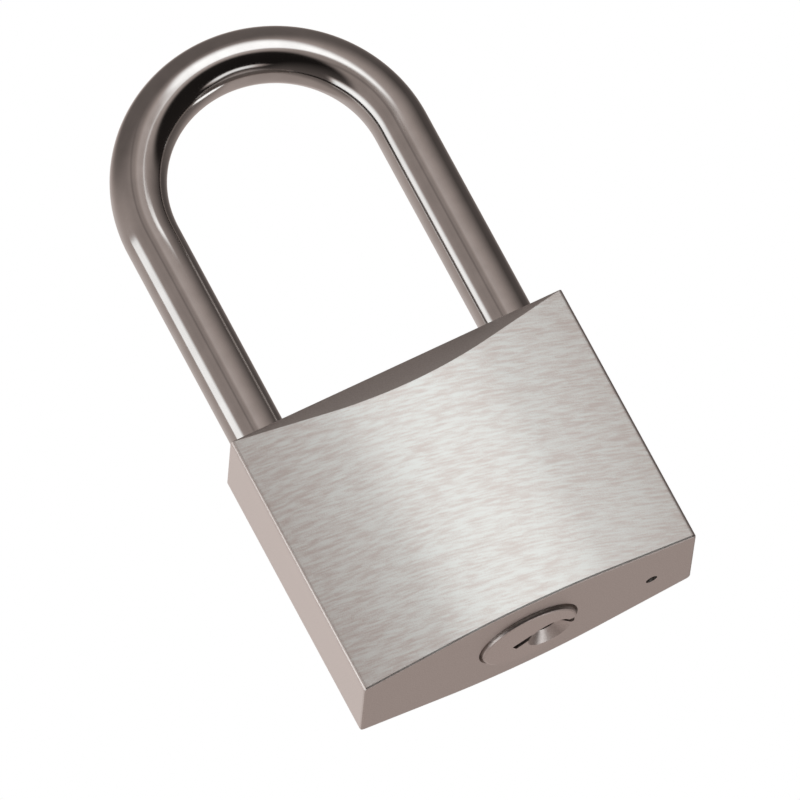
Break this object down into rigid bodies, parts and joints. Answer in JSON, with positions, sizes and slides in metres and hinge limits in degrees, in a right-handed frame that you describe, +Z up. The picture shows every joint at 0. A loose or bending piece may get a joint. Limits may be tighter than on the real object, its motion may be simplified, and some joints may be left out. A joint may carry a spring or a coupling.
{
  "type": "padlock",
  "caption": "Closed solid-body padlock with a ridged brushed metal body, a polished round bar shackle and a key plug in its underside.",
  "frame": {"origin": "centre of the key plug's face, the lowest point of the lock, on the body's vertical centre line", "axes": "+X from the toe leg to the heel leg, -Y out of the front face, +Z up through the shackle"},
  "size_m": [0.05, 0.023, 0.0961],
  "materials": {
    "body_metal": "brushed",
    "shackle_chrome": "polished",
    "plug_nickel": "satin",
    "bolt_steel": "turned",
    "pin_brass": "turned",
    "spring_steel": "drawn wire"
  },
  "bodies": {
    "case": {"lock_body": "body_metal", "cross_bore_cap": "body_metal", "shackle_retaining_pin": "body_metal", "plug_retaining_pin": "body_metal", "shackle_spring": "spring_steel", "pin_spring_1": "spring_steel", "pin_spring_2": "spring_steel", "pin_spring_3": "spring_steel", "pin_spring_4": "spring_steel", "pin_spring_5": "spring_steel", "chamber_cap_1": "body_metal", "chamber_cap_2": "body_metal", "chamber_cap_3": "body_metal", "chamber_cap_4": "body_metal", "chamber_cap_5": "body_metal"},
    "plug": {"plug": "plug_nickel", "locking_cam": "bolt_steel"},
    "shackle": {"shackle": "shackle_chrome"},
    "bolt_right": {"bolt_right": "bolt_steel"},
    "bolt_left": {"bolt_left": "bolt_steel"},
    "key_pin_1": {"key_pin_1": "pin_brass"},
    "driver_pin_1": {"driver_pin_1": "pin_brass"},
    "key_pin_2": {"key_pin_2": "pin_brass"},
    "driver_pin_2": {"driver_pin_2": "pin_brass"},
    "key_pin_3": {"key_pin_3": "pin_brass"},
    "driver_pin_3": {"driver_pin_3": "pin_brass"},
    "key_pin_4": {"key_pin_4": "pin_brass"},
    "driver_pin_4": {"driver_pin_4": "pin_brass"},
    "key_pin_5": {"key_pin_5": "pin_brass"},
    "driver_pin_5": {"driver_pin_5": "pin_brass"}
  },
  "joints": [
    {"name": "plug_turn", "type": "hinge", "parent": "case", "child": "plug", "pos_m": [0, 0, 0], "axis": [0, 0, 1], "range_deg": [0, 90]},
    {"name": "shackle_lift", "type": "slide", "parent": "case", "child": "shackle", "axis": [0, 0, 1], "range_m": [0, 0.0124], "deforming": ["shackle_spring"]},
    {"name": "bolt_right_slide", "type": "slide", "parent": "case", "child": "bolt_right", "axis": [-1, 0, 0], "range_m": [0, 0.0036]},
    {"name": "bolt_left_slide", "type": "slide", "parent": "case", "child": "bolt_left", "axis": [1, 0, 0], "range_m": [0, 0.0036]},
    {"name": "key_pin_1_slide", "type": "slide", "parent": "plug", "child": "key_pin_1", "axis": [-1, 0, 0], "range_m": [-0.0024, 0]},
    {"name": "driver_pin_1_slide", "type": "slide", "parent": "case", "child": "driver_pin_1", "axis": [-1, 0, 0], "range_m": [-0.0024, 0], "deforming": ["pin_spring_1"]},
    {"name": "key_pin_2_slide", "type": "slide", "parent": "plug", "child": "key_pin_2", "axis": [-1, 0, 0], "range_m": [-0.0012, 0]},
    {"name": "driver_pin_2_slide", "type": "slide", "parent": "case", "child": "driver_pin_2", "axis": [-1, 0, 0], "range_m": [-0.0012, 0], "deforming": ["pin_spring_2"]},
    {"name": "key_pin_3_slide", "type": "slide", "parent": "plug", "child": "key_pin_3", "axis": [-1, 0, 0], "range_m": [-0.003, 0]},
    {"name": "driver_pin_3_slide", "type": "slide", "parent": "case", "child": "driver_pin_3", "axis": [-1, 0, 0], "range_m": [-0.003, 0], "deforming": ["pin_spring_3"]},
    {"name": "key_pin_4_slide", "type": "slide", "parent": "plug", "child": "key_pin_4", "axis": [-1, 0, 0], "range_m": [-0.0018, 0]},
    {"name": "driver_pin_4_slide", "type": "slide", "parent": "case", "child": "driver_pin_4", "axis": [-1, 0, 0], "range_m": [-0.0018, 0], "deforming": ["pin_spring_4"]},
    {"name": "key_pin_5_slide", "type": "slide", "parent": "plug", "child": "key_pin_5", "axis": [-1, 0, 0], "range_m": [-0.0034, 0]},
    {"name": "driver_pin_5_slide", "type": "slide", "parent": "case", "child": "driver_pin_5", "axis": [-1, 0, 0], "range_m": [-0.0034, 0], "deforming": ["pin_spring_5"]}
  ],
  "couplings": [
    {"joint": "plug_turn", "follows": "shackle_lift", "rad_per_m": 126.68},
    {"joint": "bolt_right_slide", "follows": "shackle_lift", "ratio": 0.29032},
    {"joint": "bolt_left_slide", "follows": "shackle_lift", "ratio": 0.29032},
    {"joint": "driver_pin_1_slide", "follows": "key_pin_1_slide", "ratio": 1},
    {"joint": "driver_pin_2_slide", "follows": "key_pin_2_slide", "ratio": 1},
    {"joint": "driver_pin_3_slide", "follows": "key_pin_3_slide", "ratio": 1},
    {"joint": "driver_pin_4_slide", "follows": "key_pin_4_slide", "ratio": 1},
    {"joint": "driver_pin_5_slide", "follows": "key_pin_5_slide", "ratio": 1}
  ]
}
